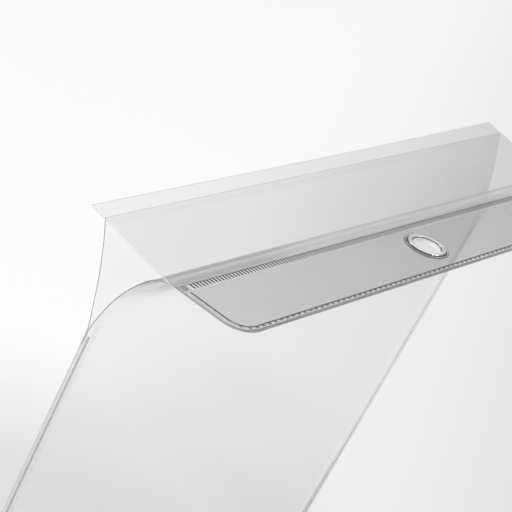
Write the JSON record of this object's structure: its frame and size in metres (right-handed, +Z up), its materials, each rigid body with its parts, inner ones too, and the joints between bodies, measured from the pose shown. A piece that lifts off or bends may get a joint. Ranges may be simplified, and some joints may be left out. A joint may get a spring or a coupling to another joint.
{
  "type": "hanging information pocket",
  "caption": "Clear film pocket with a folded header strip and eyelet for hanging, a rain flap over its open mouth, and welded sides and lower edge.",
  "frame": {"origin": "centre of the eyelet, midway through the header's two plies", "axes": "+Z up along the pouch, +X across its width, -Y towards the header's free edge"},
  "size_m": [0.228, 0.0635, 0.3093],
  "materials": {
    "clear_film": "glossy clear film",
    "weld": "fused film, satin",
    "eyelet_plastic": "glossy clear plastic"
  },
  "bodies": {
    "header": {"back_sheet_header": "clear_film", "header_top_ply": "clear_film", "eyelet_flange": "eyelet_plastic", "eyelet_washer": "eyelet_plastic", "hem_weld": "weld", "header_end_weld_left": "weld", "header_end_weld_right": "weld"},
    "pouch": {"back_sheet": "clear_film", "flap_root_strip": "clear_film", "flap_seam_weld": "weld", "front_sheet": "clear_film", "side_weld_left": "weld", "side_weld_right": "weld", "bottom_weld": "weld"},
    "flap": {"flap": "clear_film"},
    "lip": {"front_sheet_lip": "clear_film"}
  },
  "joints": [
    {"name": "header_fold", "type": "hinge", "parent": "header", "child": "pouch", "pos_m": [0, 0.00933, -0.00116], "axis": [1, 0, 0], "range_deg": [-75, 82], "stiffness_Nm_per_rad": 0.15, "springref_deg": 4.61},
    {"name": "flap_lift", "type": "hinge", "parent": "pouch", "child": "flap", "pos_m": [0, 0.01342, -0.00147], "axis": [1, 0, 0], "range_deg": [0, 85]},
    {"name": "lip_spread", "type": "hinge", "parent": "pouch", "child": "lip", "pos_m": [0, 0.03434, -0.03464], "axis": [-1, 0, 0], "range_deg": [0, 25], "stiffness_Nm_per_rad": 0.05}
  ]
}
